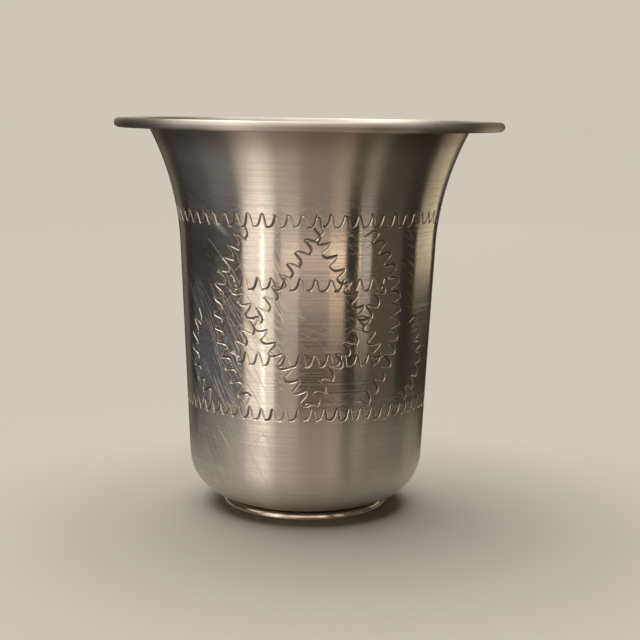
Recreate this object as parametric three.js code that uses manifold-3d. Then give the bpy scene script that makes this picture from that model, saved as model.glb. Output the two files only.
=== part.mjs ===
// A silver kiddush cup: a spun beaker with a flared, rolled lip on a soldered foot ring,
// engraved with zigzag wriggle-work. Millimetres, +Z up, the origin under the middle of the foot.
// The engraved star faces -Y.

import * as THREE from 'three';
import { mergeVertices } from 'three/addons/utils/BufferGeometryUtils.js';
import Module from 'manifold-3d';

// Driving dimensions of the cup
const CUP_HEIGHT = 76;
const RIM_DIAMETER = 75.7;
const WALL = 0.7;
const SIDES = 40;

// The body's outer section, from the base upwards
const BASE_LEVEL = 1.6;
const CORNER_RADIUS = 9;
const WAIST_LEVEL = 10;
const WAIST_RADIUS = 23.1;
const WALL_TAPER = 0.048;
const FLARE_START = 51.8;
const FLARE_RADIUS = 54;
const FLARE_END_LEAN = THREE.MathUtils.degToRad(27);
const BEAD_DIAMETER = 1.8;

// Straight pieces that stand for each round stretch of the section
const CORNER_STEPS = 4;
const FLARE_STEPS = 5;
const LIP_STEPS = 2;
const BEAD_UNDER_STEPS = 3;
const BEAD_TOP_STEPS = 2;

// The foot ring: a half-round strip, its top lying along the bottom of the body
const FOOT_DIAMETER = 32.8;
const FOOT_WIDTH = 2.4;
const FOOT_HEIGHT = 1.3;
const FOOT_BULGE = 0.5;
const FOOT_STEPS = 4;

// The wriggle-work: a zigzag groove with a triangular section
const TOOTH_PITCH = 2.6;
const TOOTH_HEIGHT = 2.2;
const STAR_TOOTH_HEIGHT = 1.9;
const GROOVE_WIDTH = 0.5;
const GROOVE_DEPTH = 0.2;
const CUTTER_PROUD = 0.12;

// Places of the engraved lines on the unrolled wall: across from the middle of the front, and up
const BAND_LEVELS = [58.1, 22.2];
const BAND_TEETH = [63, 63];
const STAR_HALF_WIDTH = 14.8;
const STAR_TRIANGLES = [
  { point: [1.8, 56.2], base: 32.5 },
  { point: [0.8, 23.9], base: 46.5 },
];
const MEDALLION_HALF_WIDTH = 18.1;
const MEDALLION_END_HALF_WIDTH = 11;
const MEDALLION_ENDS = [23.9, 56.4];
const SPRAY_POINTS = [
  [20.6, 24],
  [26.4, 32],
  [23, 39.6],
];
const BACK_RING_RADIUS = 10;

const SILVER = { color: 0xb9b2a6, metalness: 1, roughness: 0.28 };

const wasm = await Module();
wasm.setup();

const lean = Math.atan(WALL_TAPER);
const wallRadius = (level) => WAIST_RADIUS + WALL_TAPER * (level - WAIST_LEVEL);

// Centres of the section's arcs, each one tangent to the stretch before it
const cornerLevel = BASE_LEVEL + CORNER_RADIUS;
const cornerEnd = cornerLevel - CORNER_RADIUS * Math.sin(lean);
const cornerCentre = new THREE.Vector2(
  wallRadius(cornerEnd) - CORNER_RADIUS * Math.cos(lean),
  cornerLevel,
);
const flareCentre = new THREE.Vector2(
  wallRadius(FLARE_START) + FLARE_RADIUS * Math.cos(lean),
  FLARE_START - FLARE_RADIUS * Math.sin(lean),
);
const flareEnd = new THREE.Vector2(
  flareCentre.x - FLARE_RADIUS * Math.cos(FLARE_END_LEAN),
  flareCentre.y + FLARE_RADIUS * Math.sin(FLARE_END_LEAN),
);
const lipRise = CUP_HEIGHT - WALL - flareEnd.y;
const lipRadius = lipRise / (1 - Math.sin(FLARE_END_LEAN));
const lipCentre = new THREE.Vector2(
  flareEnd.x + lipRadius * Math.cos(FLARE_END_LEAN),
  flareEnd.y - lipRadius * Math.sin(FLARE_END_LEAN),
);
const beadCentre = new THREE.Vector2((RIM_DIAMETER - BEAD_DIAMETER) / 2, CUP_HEIGHT - BEAD_DIAMETER / 2);

// The outside radius of the wall at a level, on the straight wall or on the flare
function outsideRadius(level) {
  if (level <= FLARE_START) return wallRadius(level);
  const up = level - flareCentre.y;
  return flareCentre.x - Math.sqrt(FLARE_RADIUS ** 2 - up ** 2);
}

// Points along an arc of the section, from one angle to another about its centre
function arc(centre, radius, from, to, steps) {
  return Array.from({ length: steps + 1 }, (_, i) => {
    const angle = THREE.MathUtils.lerp(from, to, i / steps);
    return new THREE.Vector2(Math.cos(angle), Math.sin(angle)).multiplyScalar(radius).add(centre);
  });
}

// One face of the sheet from the base to the lip; inset is 0 outside and the wall's thickness inside
function sheetFace(inset) {
  return [
    new THREE.Vector2(0, BASE_LEVEL + inset),
    ...arc(cornerCentre, CORNER_RADIUS - inset, -Math.PI / 2, -lean, CORNER_STEPS),
    ...arc(flareCentre, FLARE_RADIUS + inset, Math.PI - lean, Math.PI - FLARE_END_LEAN, FLARE_STEPS),
    ...arc(lipCentre, lipRadius + inset, Math.PI - FLARE_END_LEAN, Math.PI / 2, LIP_STEPS).slice(1),
  ];
}

// The whole section of the body: up the outside, round the rolled bead, down the inside
function bodySection() {
  const seat = Math.asin((BEAD_DIAMETER / 2 - WALL) / (BEAD_DIAMETER / 2));
  const under = arc(beadCentre, BEAD_DIAMETER / 2, -Math.PI - seat, 0, BEAD_UNDER_STEPS);
  const top = arc(beadCentre, BEAD_DIAMETER / 2, 0, Math.PI / 2, BEAD_TOP_STEPS).slice(1);
  return [...sheetFace(0), ...under, ...top, ...sheetFace(WALL).reverse()];
}

// The section of the foot ring, with its underside flat on the ground
function footSection() {
  const outer = FOOT_DIAMETER / 2 - FOOT_BULGE;
  const inner = FOOT_DIAMETER / 2 - FOOT_WIDTH;
  const bulge = Array.from({ length: FOOT_STEPS + 1 }, (_, i) => {
    const turn = (Math.PI * i) / FOOT_STEPS;
    return new THREE.Vector2(
      outer + FOOT_BULGE * Math.sin(turn),
      (FOOT_HEIGHT * (1 - Math.cos(turn))) / 2,
    );
  });
  const start = new THREE.Vector2(inner, 0);
  return [start, ...bulge, new THREE.Vector2(inner, FOOT_HEIGHT), start.clone()];
}

// A turned solid about +Z
function turned(section) {
  return new THREE.LatheGeometry(section, SIDES).rotateX(Math.PI / 2);
}

// A closed geometry as a solid that can be cut
function toSolid(geometry) {
  const bare = new THREE.BufferGeometry();
  bare.setAttribute('position', geometry.getAttribute('position'));
  bare.setIndex(geometry.getIndex());
  const merged = mergeVertices(bare, 1e-4);
  const index = merged.getIndex().array;
  const corners = [];
  for (let i = 0; i < index.length; i += 3) {
    const [a, b, c] = index.slice(i, i + 3);
    if (a !== b && b !== c && c !== a) corners.push(a, b, c);
  }
  return new wasm.Manifold(new wasm.Mesh({
    numProp: 3,
    vertProperties: new Float32Array(merged.getAttribute('position').array),
    triVerts: new Uint32Array(corners),
  }));
}

// A solid back as a geometry
function toGeometry(solid) {
  const mesh = solid.getMesh();
  const geometry = new THREE.BufferGeometry();
  geometry.setAttribute('position', new THREE.BufferAttribute(mesh.vertProperties, 3));
  geometry.setIndex(new THREE.BufferAttribute(mesh.triVerts, 1));
  geometry.computeVertexNormals();
  return geometry;
}

// Places across the unrolled wall are measured on a cylinder of the wall's middle radius
const unrollRadius = wallRadius((BAND_LEVELS[0] + BAND_LEVELS[1]) / 2);

// A point of the unrolled wall brought onto the cup, standing proud of its surface or sunk in it
function onWall(place, proud) {
  const angle = place.x / unrollRadius;
  const radius = outsideRadius(place.y) + proud;
  return [radius * Math.sin(angle), -radius * Math.cos(angle), place.y];
}

// The zigzag's corners: two to a tooth, on either side of a guide curve on the unrolled wall
function wriggle(curve, toothHeight, teeth = Math.round(curve.getLength() / TOOTH_PITCH)) {
  return Array.from({ length: 2 * teeth + 1 }, (_, i) => {
    const along = i / (2 * teeth);
    const tangent = curve.getTangentAt(along);
    const side = (i % 2 === 0 ? 0.5 : -0.5) * toothHeight;
    return curve.getPointAt(along).add(new THREE.Vector2(-tangent.y, tangent.x).multiplyScalar(side));
  });
}

// A wedge that follows a zigzag and cuts a groove; an open groove runs out to the surface at its ends
function grooveCutter(path, closed) {
  const count = closed ? path.length - 1 : path.length;
  const topHalfWidth = (GROOVE_WIDTH / 2) * (1 + CUTTER_PROUD / GROOVE_DEPTH);
  const positions = [];
  const index = [];
  const wrap = new THREE.Vector2(2 * Math.PI * unrollRadius, 0);
  const pointAt = (i) => {
    if (!closed) return path[THREE.MathUtils.clamp(i, 0, count - 1)];
    const turns = Math.floor(i / count);
    return path[i - turns * count].clone().addScaledVector(wrap, turns);
  };
  for (let i = 0; i < count; i += 1) {
    const here = pointAt(i);
    const before = here.clone().sub(pointAt(i - 1)).normalize();
    const after = pointAt(i + 1).clone().sub(here).normalize();
    const along = before.clone().add(after).normalize();
    const leaving = after.lengthSq() > 0 ? after : before;
    const mitre = topHalfWidth / along.dot(leaving);
    const side = new THREE.Vector2(-along.y, along.x).multiplyScalar(mitre);
    const runsOut = !closed && (i === 0 || i === count - 1);
    positions.push(...onWall(here.clone().add(side), CUTTER_PROUD));
    positions.push(...onWall(here.clone().sub(side), CUTTER_PROUD));
    positions.push(...onWall(here, runsOut ? CUTTER_PROUD / 2 : -GROOVE_DEPTH));
  }
  const quad = (a, b, c, d) => index.push(a, b, c, a, c, d);
  for (let i = 0; i < (closed ? count : count - 1); i += 1) {
    const here = 3 * i;
    const next = 3 * ((i + 1) % count);
    for (let edge = 0; edge < 3; edge += 1) {
      const follow = (edge + 1) % 3;
      quad(here + edge, here + follow, next + follow, next + edge);
    }
  }
  const last = 3 * (count - 1);
  if (!closed) index.push(0, 2, 1, last, last + 1, last + 2);
  const geometry = new THREE.BufferGeometry();
  geometry.setAttribute('position', new THREE.Float32BufferAttribute(positions, 3));
  geometry.setIndex(index);
  return geometry;
}

// The two bands of teeth right round the cup
function bandCutters() {
  const around = 2 * Math.PI * unrollRadius;
  return BAND_LEVELS.map((level, i) => {
    const guide = new THREE.LineCurve(new THREE.Vector2(0, level), new THREE.Vector2(around, level));
    return grooveCutter(wriggle(guide, TOOTH_HEIGHT, BAND_TEETH[i]), true);
  });
}

// The star on the front: two triangles, one pointing up and one down
function starGuides() {
  return STAR_TRIANGLES.flatMap(({ point, base }) => {
    const tip = new THREE.Vector2(...point);
    const left = new THREE.Vector2(-STAR_HALF_WIDTH, base);
    const right = new THREE.Vector2(STAR_HALF_WIDTH, base);
    return [[left, tip], [tip, right], [left, right]].map((ends) => new THREE.LineCurve(...ends));
  });
}

// The two bowed sides of the medallion round the star
function medallionGuides() {
  const bow = MEDALLION_HALF_WIDTH - MEDALLION_END_HALF_WIDTH;
  const halfHeight = (MEDALLION_ENDS[1] - MEDALLION_ENDS[0]) / 2;
  const middle = (MEDALLION_ENDS[1] + MEDALLION_ENDS[0]) / 2;
  const radius = (halfHeight ** 2 + bow ** 2) / (2 * bow);
  const sweep = Math.asin(halfHeight / radius);
  const offset = MEDALLION_HALF_WIDTH - radius;
  return [
    new THREE.EllipseCurve(offset, middle, radius, radius, -sweep, sweep),
    new THREE.EllipseCurve(-offset, middle, radius, radius, Math.PI - sweep, Math.PI + sweep),
  ];
}

// The short curved spray at each side of the medallion
function sprayGuides() {
  return [1, -1].map((side) => new THREE.SplineCurve(
    SPRAY_POINTS.map(([across, level]) => new THREE.Vector2(side * across, level)),
  ));
}

// The plain round cartouche on the back
function backRingPath() {
  const middle = (BAND_LEVELS[0] + BAND_LEVELS[1]) / 2;
  const back = Math.PI * unrollRadius;
  return new THREE.EllipseCurve(back, middle, BACK_RING_RADIUS, BACK_RING_RADIUS, 0, 2 * Math.PI);
}

function cupBody() {
  const guides = [...starGuides(), ...medallionGuides(), ...sprayGuides(), backRingPath()];
  const lines = guides.map((guide) => grooveCutter(wriggle(guide, STAR_TOOTH_HEIGHT), false));
  return [...bandCutters(), ...lines].reduce(
    (solid, cutter) => solid.subtract(toSolid(cutter)),
    toSolid(turned(bodySection())),
  );
}

// One named piece of silver
function piece(name, geometry) {
  const mesh = new THREE.Mesh(geometry, new THREE.MeshStandardMaterial(SILVER));
  mesh.name = name;
  return mesh;
}

const cup = new THREE.Group();
cup.add(piece('cup_body', toGeometry(cupBody())));
cup.add(piece('foot_ring', turned(footSection())));

export default cup;
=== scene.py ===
"""The looks of a silver kiddush cup: a spun, flared beaker with hand-cut wriggle-work on a foot ring."""

import logging
import math
import random
from dataclasses import dataclass, field
from enum import Enum
from typing import Protocol

import bmesh
import bpy
from mathutils import Matrix, Vector


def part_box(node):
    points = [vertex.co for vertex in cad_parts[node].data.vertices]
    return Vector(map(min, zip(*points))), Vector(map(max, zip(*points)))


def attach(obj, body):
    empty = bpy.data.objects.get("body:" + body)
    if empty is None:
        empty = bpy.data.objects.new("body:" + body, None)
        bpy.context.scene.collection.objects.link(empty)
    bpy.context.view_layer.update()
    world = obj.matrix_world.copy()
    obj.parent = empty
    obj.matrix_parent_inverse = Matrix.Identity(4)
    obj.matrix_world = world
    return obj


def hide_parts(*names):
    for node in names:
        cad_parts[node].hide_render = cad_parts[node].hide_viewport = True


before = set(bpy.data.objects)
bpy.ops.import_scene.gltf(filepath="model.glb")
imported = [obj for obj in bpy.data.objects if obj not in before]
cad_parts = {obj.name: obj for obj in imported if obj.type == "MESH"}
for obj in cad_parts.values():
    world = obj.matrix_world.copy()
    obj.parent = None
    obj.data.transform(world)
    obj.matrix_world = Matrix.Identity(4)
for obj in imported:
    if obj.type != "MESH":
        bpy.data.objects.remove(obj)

# Metres in a millimetre, and the distance in metres within which two points of a mesh are one
MM = 0.001
WELD = 1e-7
FULL_TURN = 2 * math.pi
# The radius in millimetres that the finishes unroll the wall on
WALL_RADIUS = 24.5
# Pixels along a side of the photograph
PHOTO_SIDE = 640
# The frame's one body, and the mesh attribute that says how deep in a cut a point lies, from 0 to 1
ROOT = "root"
CUT_DEPTH = "cut_depth"
# Two measures, such as across and up
Pair = tuple[float, float]
log = logging.getLogger("kiddush_cup")


class Stroke(Enum):
    """The two strokes of the graver that make one tooth of wriggle-work."""

    DOWN = 0
    UP = 1


class Join(Enum):
    """How two masks are worked together, each with the shader's own name for it."""

    BOTH = "MULTIPLY"
    STRONGER = "MAXIMUM"
    SUM = "ADD"


def linear(hex_colour: str) -> tuple[float, float, float, float]:
    """Turn an sRGB hex colour into linear RGBA.

    Args:
        hex_colour: six hex digits, such as "c9c2b4".

    Returns:
        The linear colour, with an alpha of 1.
    """
    channels = [int(hex_colour[i:i + 2], 16) / 255 for i in (0, 2, 4)]
    straight = [c / 12.92 if c <= 0.04045 else ((c + 0.055) / 1.055) ** 2.4 for c in channels]
    return (*straight, 1.0)


def add_node(
    tree: bpy.types.NodeTree,
    kind: str,
    settings: dict[str | int, object] | None = None,
    links: dict[str | int, bpy.types.NodeSocket] | None = None,
) -> bpy.types.Node:
    """Add a node with its settings and links.

    Args:
        tree: the tree that gets the node.
        kind: the node's type name.
        settings: values for its properties, or for its input sockets by name or number.
        links: output sockets to join to its inputs, by name or number.

    Returns:
        The new node.
    """
    node = tree.nodes.new(kind)
    for key, value in (settings or {}).items():
        if isinstance(key, str) and hasattr(node, key):
            setattr(node, key, value)
        else:
            node.inputs[key].default_value = value
    for key, source in (links or {}).items():
        tree.links.new(source, node.inputs[key])
    return node


def new_finish(name: str) -> bpy.types.Material:
    """Start a material with no nodes in it.

    Args:
        name: the material's name.

    Returns:
        The material.
    """
    finish = bpy.data.materials.new(name)
    finish.use_nodes = True
    finish.node_tree.nodes.clear()
    return finish


def new_piece(name: str, mesh: bmesh.types.BMesh) -> bpy.types.Object:
    """Make an object at the origin from a mesh, shaded smooth, and free the mesh.

    Args:
        name: the piece's name.
        mesh: its shape, in metres, where it stands.

    Returns:
        The new object, in the scene.
    """
    for face in mesh.faces:
        face.smooth = True
    data = bpy.data.meshes.new(name)
    mesh.to_mesh(data)
    mesh.free()
    piece = bpy.data.objects.new(name, data)
    bpy.context.scene.collection.objects.link(piece)
    return piece


class SectionPen:
    """Draws half the section of a turned piece in the XZ plane, then turns it about Z."""

    def __init__(self, radius: float, level: float) -> None:
        """Put the pen down at a radius and a level, in millimetres."""
        self.mesh = bmesh.new()
        self.tip = self.mesh.verts.new((radius * MM, 0.0, level * MM))

    def line(self, radius: float, level: float, steps: int) -> None:
        """Draw a straight stretch.

        Args:
            radius: the radius where it ends, in millimetres.
            level: the level where it ends, in millimetres.
            steps: how many edges it has.
        """
        step = (Vector((radius, 0.0, level)) * MM - self.tip.co) / steps
        for _ in range(steps):
            grown = bmesh.ops.extrude_vert_indiv(self.mesh, verts=[self.tip])
            self.tip = grown["verts"][0]
            bmesh.ops.translate(self.mesh, verts=[self.tip], vec=step)

    def arc(self, centre: Vector, turn: float, steps: int) -> None:
        """Draw a round stretch.

        Args:
            centre: the radius and level of its centre, in millimetres.
            turn: the angle it turns through, in radians, positive from the radius towards up.
            steps: how many edges it has.
        """
        swung = bmesh.ops.spin(
            self.mesh, geom=[self.tip], cent=Vector((centre.x, 0.0, centre.y)) * MM,
            axis=(0.0, -1.0, 0.0), dvec=(0.0, 0.0, 0.0), angle=turn, steps=steps,
        )
        self.tip = next(part for part in swung["geom_last"] if isinstance(part, bmesh.types.BMVert))

    def turned(self, steps: int) -> bmesh.types.BMesh:
        """Turn the section all round.

        Args:
            steps: how many steps make the full turn.

        Returns:
            The turned mesh, closed, with its faces outwards.
        """
        bmesh.ops.spin(
            self.mesh, geom=self.mesh.verts[:] + self.mesh.edges[:], cent=(0.0, 0.0, 0.0),
            axis=(0.0, 0.0, 1.0), dvec=(0.0, 0.0, 0.0), angle=FULL_TURN, steps=steps, use_merge=True,
        )
        bmesh.ops.remove_doubles(self.mesh, verts=self.mesh.verts[:], dist=WELD)
        bmesh.ops.recalc_face_normals(self.mesh, faces=self.mesh.faces[:])
        return self.mesh


@dataclass(frozen=True)
class CupSection:
    """The cup's section, in millimetres. The height, rim and base come from the frame."""

    height: float
    rim_radius: float
    base_level: float
    wall: float = 0.7
    corner_radius: float = 9.0
    waist_level: float = 10.0
    waist_radius: float = 23.1
    taper: float = 0.048
    flare_start: float = 51.8
    flare_radius: float = 54.0
    flare_end_lean: float = math.radians(27)
    bead_radius: float = 0.9

    @property
    def lean(self) -> float:
        """The straight wall's lean from upright, in radians."""
        return math.atan(self.taper)

    @property
    def corner_centre(self) -> Vector:
        """Find the centre of the rounded bottom edge.

        Returns:
            Its radius and level.
        """
        level = self.base_level + self.corner_radius
        end = level - self.corner_radius * math.sin(self.lean)
        return Vector((self.wall_radius(end) - self.corner_radius * math.cos(self.lean), level))

    @property
    def flare_centre(self) -> Vector:
        """Find the centre of the flare's long curve, outside the cup.

        Returns:
            Its radius and level.
        """
        out = self.flare_radius * math.cos(self.lean)
        down = self.flare_radius * math.sin(self.lean)
        return Vector((self.wall_radius(self.flare_start) + out, self.flare_start - down))

    @property
    def flare_end(self) -> Vector:
        """Where the flare passes into the bend of the lip."""
        way = Vector((-math.cos(self.flare_end_lean), math.sin(self.flare_end_lean)))
        return self.flare_centre + way * self.flare_radius

    @property
    def lip_radius(self) -> float:
        """Radius of the bend under the lip, which ends level."""
        rise = self.height - self.wall - self.flare_end.y
        return rise / (1 - math.sin(self.flare_end_lean))

    @property
    def lip_centre(self) -> Vector:
        """Centre of the bend of the lip."""
        way = Vector((math.cos(self.flare_end_lean), -math.sin(self.flare_end_lean)))
        return self.flare_end + way * self.lip_radius

    @property
    def bead_centre(self) -> Vector:
        """Centre of the rolled bead at the rim."""
        return Vector((self.rim_radius - self.bead_radius, self.height - self.bead_radius))

    def wall_radius(self, level: float) -> float:
        """Outside radius of the straight wall at a level."""
        return self.waist_radius + self.taper * (level - self.waist_level)

    def outside(self, level: float) -> Pair:
        """Find the outside of the wall at a level.

        Args:
            level: a level on the straight wall or the flare, in millimetres.

        Returns:
            The radius in millimetres, and the lean from upright in radians.
        """
        if level <= self.flare_start:
            return self.wall_radius(level), self.lean
        lean = math.asin((level - self.flare_centre.y) / self.flare_radius)
        return self.flare_centre.x - self.flare_radius * math.cos(lean), lean


class Guide(Protocol):
    """A line on the unrolled wall that the wriggle-work follows."""

    length: float

    def place(self, along: float) -> Vector:
        """Give the place a fraction of the way along."""

    def way(self, along: float) -> Vector:
        """Give the unit direction there."""


@dataclass
class StraightGuide:
    """A straight guide line, in millimetres across and up the unrolled wall."""

    start: Vector
    end: Vector
    length: float = field(init=False)

    def __post_init__(self) -> None:
        """Measure the line."""
        self.length = (self.end - self.start).length

    def place(self, along: float) -> Vector:
        """Give the place a fraction of the way along."""
        return self.start.lerp(self.end, along)

    def way(self, along: float) -> Vector:
        """Give the unit direction, the same everywhere."""
        return (self.end - self.start).normalized()


@dataclass
class ArcGuide:
    """A round guide line about a centre, from one angle to another."""

    centre: Vector
    radius: float
    start: float
    end: float
    length: float = field(init=False)

    def __post_init__(self) -> None:
        """Measure the arc."""
        self.length = abs(self.end - self.start) * self.radius

    def angle(self, along: float) -> float:
        """Give the angle a fraction of the way along."""
        return self.start + (self.end - self.start) * along

    def place(self, along: float) -> Vector:
        """Give the place a fraction of the way along."""
        angle = self.angle(along)
        return self.centre + Vector((math.cos(angle), math.sin(angle))) * self.radius

    def way(self, along: float) -> Vector:
        """Give the unit direction there."""
        angle = self.angle(along)
        return Vector((-math.sin(angle), math.cos(angle))) * math.copysign(1.0, self.end - self.start)

    @classmethod
    def through(cls, first: Vector, middle: Vector, last: Vector) -> "ArcGuide":
        """Make the arc through three places.

        Args:
            first: where it starts.
            middle: a place that it passes.
            last: where it ends.

        Returns:
            The guide.
        """
        near, far = middle - first, last - first
        twice_area = 2 * (near.x * far.y - near.y * far.x)
        centre = first + Vector((
            far.y * near.length_squared - near.y * far.length_squared,
            near.x * far.length_squared - far.x * near.length_squared,
        )) / twice_area
        start, end = (math.atan2(p.y - centre.y, p.x - centre.x) for p in (first, last))
        sense = math.copysign(1.0, twice_area)
        sweep = ((end - start) * sense) % FULL_TURN
        return cls(centre, (first - centre).length, start, start + sense * sweep)


@dataclass
class Wriggle:
    """One engraved line: its guide, how many teeth it has, how tall they are, and whether it closes."""

    guide: Guide
    teeth: int
    height: float
    closed: bool = False


@dataclass
class Engraving:
    """The wriggle-work cut in the wall, in millimetres on the unrolled wall."""

    section: CupSection
    band_levels: Pair = (58.1, 22.2)
    band_teeth: tuple[int, int] = (63, 63)
    band_starts: Pair = (-1.0, -1.55)
    star_half_width: float = 14.8
    star_points: tuple[Pair, Pair] = ((1.8, 56.2), (0.8, 23.9))
    star_bases: Pair = (32.5, 46.5)
    medallion_half_width: float = 18.1
    medallion_end_half_width: float = 11.0
    medallion_ends: Pair = (23.9, 56.4)
    spray: tuple[Pair, Pair, Pair] = ((20.6, 24.0), (26.4, 32.0), (23.0, 39.6))
    back_ring_radius: float = 10.0
    tooth_pitch: float = 2.7
    tooth_height: float = 2.2
    star_tooth_height: float = 2.1
    fewest_teeth: int = 3
    # The graver is round, and its axis stands off the wall by the lift
    graver_radius: float = 0.32
    graver_lift: float = 0.18
    graver_rounding: int = 4
    # A stroke's two curve handles, as shares of its run along the line and its fall across it
    down_handles: tuple[Pair, Pair] = ((0.66, -0.04), (0.62, 0.74))
    up_handles: tuple[Pair, Pair] = ((0.78, -0.06), (0.76, 0.50))
    stroke_points: int = 9
    overrun: float = 0.12
    # How deep a stroke bites, how that varies, and how far it thins at its ends, as shares of the radius
    down_bite: float = 0.9
    up_bite: float = 1.0
    bite_error: float = 0.08
    thinning: float = 0.1
    # The hand's errors: a share of a tooth's height, and of that the part that goes along the line, in teeth;
    # how far each foot lies back, in teeth; and a slow drift of the line in millimetres, over so many teeth
    unevenness: float = 0.13
    unevenness_along: float = 0.6
    foot_lean: float = -0.1
    drift: float = 0.16
    drift_teeth: int = 9
    seed: int = 5

    def __post_init__(self) -> None:
        """Set the radius that the wall is unrolled on, and start the hand's small errors."""
        self.unroll_radius = self.section.wall_radius(sum(self.band_levels) / 2)
        self.hand = random.Random(self.seed)

    def lines(self) -> list[list[Wriggle]]:
        """Lay out every line, in sets whose lines don't cross one another.

        Returns:
            Four sets of lines.
        """
        around = FULL_TURN * self.unroll_radius
        bands = [
            Wriggle(
                StraightGuide(Vector((start, level)), Vector((start + around, level))),
                teeth, self.tooth_height, True,
            )
            for level, teeth, start in zip(self.band_levels, self.band_teeth, self.band_starts)
        ]
        left_up, right_up, base_up = self.triangle(0)
        left_down, right_down, base_down = self.triangle(1)
        return [
            [*bands, *self.sprays(), self.back_ring()],
            [*self.medallion(), left_up, right_down],
            [right_up, left_down],
            [base_up, base_down],
        ]

    def line(self, guide: Guide) -> Wriggle:
        """Cover a guide with teeth of the usual pitch."""
        teeth = max(self.fewest_teeth, round(guide.length / self.tooth_pitch))
        return Wriggle(guide, teeth, self.star_tooth_height)

    def triangle(self, which: int) -> list[Wriggle]:
        """Lay out one triangle of the star.

        Args:
            which: 0 for the one that points up, 1 for the one that points down.

        Returns:
            Its left side, right side and base.
        """
        tip = Vector(self.star_points[which])
        left = Vector((-self.star_half_width, self.star_bases[which]))
        right = Vector((self.star_half_width, self.star_bases[which]))
        return [self.line(StraightGuide(*ends)) for ends in ((left, tip), (tip, right), (left, right))]

    def medallion(self) -> list[Wriggle]:
        """Lay out the two bowed sides round the star.

        Returns:
            The left side and the right side.
        """
        low, high = self.medallion_ends
        bow = (
            (self.medallion_end_half_width, low),
            (self.medallion_half_width, (low + high) / 2),
            (self.medallion_end_half_width, high),
        )
        return self.both_sides(bow)

    def sprays(self) -> list[Wriggle]:
        """Lay out the short curve at each side of the medallion."""
        return self.both_sides(self.spray)

    def both_sides(self, bow: tuple[Pair, Pair, Pair]) -> list[Wriggle]:
        """Lay out a bowed line on the left and on the right of the star.

        Args:
            bow: three places on the right-hand line.

        Returns:
            The left line and the right line.
        """
        return [
            self.line(ArcGuide.through(*(Vector((side * across, level)) for across, level in bow)))
            for side in (-1, 1)
        ]

    def back_ring(self) -> Wriggle:
        """Lay out the plain round cartouche on the back.

        Returns:
            The line.
        """
        centre = Vector((math.pi * self.unroll_radius, sum(self.band_levels) / 2))
        line = self.line(ArcGuide(centre, self.back_ring_radius, 0.0, FULL_TURN))
        line.closed = True
        return line

    def on_wall(self, place: Vector) -> Vector:
        """Bring a place on the unrolled wall onto the graver's path round the cup.

        Args:
            place: millimetres across from the front, and up.

        Returns:
            The point, in metres.
        """
        radius, lean = self.section.outside(place.y)
        angle = place.x / self.unroll_radius
        radius += self.graver_lift * math.cos(lean)
        level = place.y - self.graver_lift * math.sin(lean)
        return Vector((radius * math.sin(angle), -radius * math.cos(angle), level)) * MM

    def stroke(self, line: Wriggle, start: Pair, end: Pair, kind: Stroke) -> list[Vector]:
        """Follow one stroke of the graver, from a tooth's tip to its foot or back.

        Args:
            line: the line that the stroke is part of.
            start: teeth along the line and offset from it, where the stroke starts.
            end: the same, where it ends.
            kind: whether it is a tooth's down or up stroke.

        Returns:
            Places on the unrolled wall.
        """
        reach = end[0] - start[0]
        drop = end[1] - start[1]
        handles = self.down_handles if kind is Stroke.DOWN else self.up_handles
        # A cubic curve that leaves the start and comes to the end by way of the two handles
        knots = [(0.0, 0.0), *handles, (1.0, 1.0)]
        places = []
        for i in range(self.stroke_points):
            t = i / (self.stroke_points - 1)
            weights = ((1 - t) ** 3, 3 * t * (1 - t) ** 2, 3 * t * t * (1 - t), t ** 3)
            run = sum(w * k[0] for w, k in zip(weights, knots))
            fall = sum(w * k[1] for w, k in zip(weights, knots))
            along = (start[0] + run * reach) / line.teeth
            way = line.guide.way(along)
            offset = start[1] + fall * drop
            places.append(line.guide.place(along) + Vector((-way.y, way.x)) * offset)
        first = (places[0] - places[1]).normalized() * self.overrun
        last = (places[-1] - places[-2]).normalized() * self.overrun
        return [places[0] + first, *places, places[-1] + last]

    def corners(self, line: Wriggle) -> list[Pair]:
        """Place the corners of a line's zigzag, with the small errors of a hand.

        Args:
            line: the line.

        Returns:
            For each corner, teeth along the line and offset from it in millimetres.
        """
        jitter = self.unevenness
        wave = self.hand.uniform(0.0, FULL_TURN)
        waves = round(line.teeth / self.drift_teeth)
        places = []
        for i in range(2 * line.teeth + 1):
            is_tip = i % 2 == 0
            shift = self.hand.uniform(-jitter, jitter) * self.unevenness_along
            size = 1 + self.hand.uniform(-jitter, jitter)
            lean = 0.0 if is_tip else self.foot_lean
            aside = size * line.height / 2
            sway = self.drift * math.sin(wave + FULL_TURN * waves * i / (2 * line.teeth))
            places.append((i / 2 + shift + lean, sway + (aside if is_tip else -aside)))
        if line.closed:
            places[-1] = (line.teeth + places[0][0], places[0][1])
        return places

    def add_stroke(self, curve: bpy.types.Curve, places: list[Vector], bite: float) -> None:
        """Add one stroke to the graver's path.

        Args:
            curve: the path.
            places: places on the unrolled wall.
            bite: how deep it cuts, as a share of the graver's radius.
        """
        spline = curve.splines.new("POLY")
        spline.points.add(len(places) - 1)
        for n, place in enumerate(places):
            swell = 1 - self.thinning + self.thinning * math.sin(math.pi * n / (len(places) - 1))
            spline.points[n].co = (*self.on_wall(place), 1.0)
            spline.points[n].radius = swell * bite

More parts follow.
